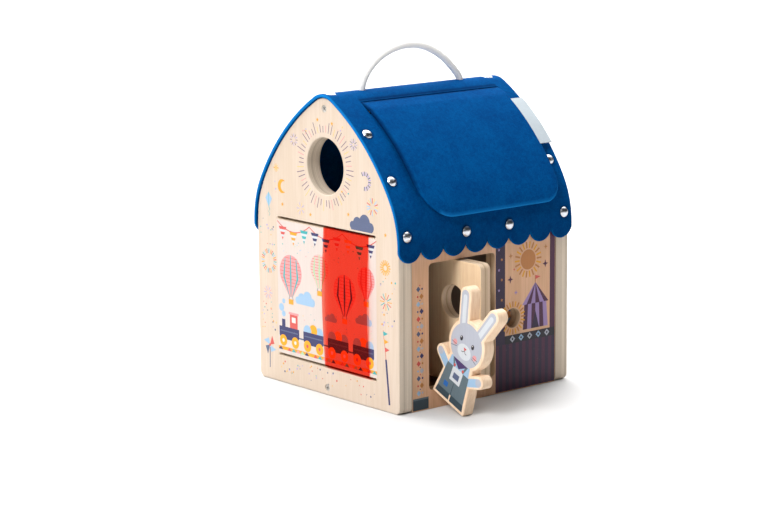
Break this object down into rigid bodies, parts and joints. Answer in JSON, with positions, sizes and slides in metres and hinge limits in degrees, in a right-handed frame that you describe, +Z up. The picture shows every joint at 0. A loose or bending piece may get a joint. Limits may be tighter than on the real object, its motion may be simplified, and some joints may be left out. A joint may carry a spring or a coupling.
{
  "type": "activity house",
  "caption": "Wooden activity house with a turning door, sliding colour filter, lifting felt roof flap, turning picture disc, rope handle and a loose animal figure.",
  "frame": {"origin": "middle of the house's footprint, on the surface that it stands on", "axes": "+Z up; X along the ridge, with the gable that carries the colour filter facing -X; Y across the gable, with the wall that has the doorway facing -Y"},
  "size_m": [0.194, 0.2704, 0.2918],
  "materials": {
    "ply": "clear matt lacquer over light plywood, printed in colours",
    "pine": "plain wood",
    "figure": "printed front, bare rounded edges",
    "felt": "dense blue felt",
    "tag": "white woven ribbon, bare",
    "rope": "braided white cotton cord",
    "nail": "polished dome nails",
    "steel": "bright steel",
    "film": "clear red film",
    "washer": "white plastic"
  },
  "bodies": {
    "root": {"near_gable": "ply", "far_gable": "ply", "door_wall": "ply", "back_wall": "ply", "floor_board": "ply", "ridge_beam": "pine", "door_pin_top": "steel", "door_pin_bottom": "steel", "roof_felt": "felt", "rope_handle": "rope", "rope_knots": "rope", "near_gable_nails": "nail", "far_gable_nails": "nail", "front_hem_nails": "nail", "back_hem_nails": "nail", "near_gable_screws": "steel", "far_gable_screws": "steel", "front_wall_dowels": "pine", "back_wall_dowels": "pine", "disc_washers": "washer", "disc_axle": "steel"},
    "door": {"turning_door": "ply"},
    "filter": {"filter_band": "film"},
    "flap": {"roof_flap": "felt", "side_tag": "tag"},
    "disc": {"picture_disc": "ply"},
    "figure": {"rabbit_figure": "figure"}
  },
  "joints": [
    {"name": "door_turn", "type": "hinge", "parent": "root", "child": "door", "pos_m": [-0.0257, -0.0869, 0.0686], "axis": [0, 0, 1], "range_deg": [0, 90]},
    {"name": "filter_slide", "type": "slide", "parent": "root", "child": "filter", "axis": [0, 1, 0], "range_m": [-0.0075, 0.0625]},
    {"name": "flap_lift", "type": "hinge", "parent": "root", "child": "flap", "pos_m": [0, -0.01764, 0.24795], "axis": [-1, 0, 0], "range_deg": [0, 110]},
    {"name": "disc_turn", "type": "hinge", "parent": "root", "child": "disc", "pos_m": [0.0454, -0.078, 0.0627], "axis": [0, 1, 0], "continuous": true},
    {"name": "figure_pull", "type": "slide", "parent": "root", "child": "figure", "axis": [0, -1, 0], "range_m": [0, 0.08]}
  ]
}
